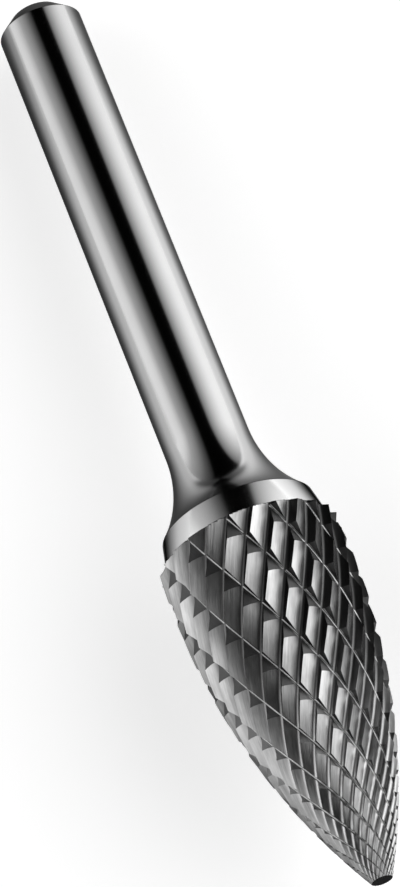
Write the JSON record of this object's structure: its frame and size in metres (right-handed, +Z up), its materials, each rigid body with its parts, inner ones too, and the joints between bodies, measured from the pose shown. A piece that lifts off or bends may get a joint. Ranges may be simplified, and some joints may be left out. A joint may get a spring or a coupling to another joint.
{
  "type": "carbide burr",
  "caption": "Pointed tree-shape rotary burr with a double-cut carbide head brazed to a plain round shank, for grinding metal in a collet.",
  "frame": {"origin": "bench level, under the middle of the outline of the burr as it lies", "axes": "+Z up from the bench, +X along the burr towards the tip, which points slightly up; the axis of the burr slopes down towards the shank's end by 4.34 degrees"},
  "size_m": [0.07, 0.0126, 0.0129],
  "materials": {
    "carbide": "ground tungsten carbide, sharp flutes with fine grinding lines, satin cone behind the teeth",
    "shank_steel": "bright ground steel with fine lines round the axis"
  },
  "bodies": {
    "root": {"cutting_head": "carbide", "shank": "shank_steel"}
  },
  "joints": []
}
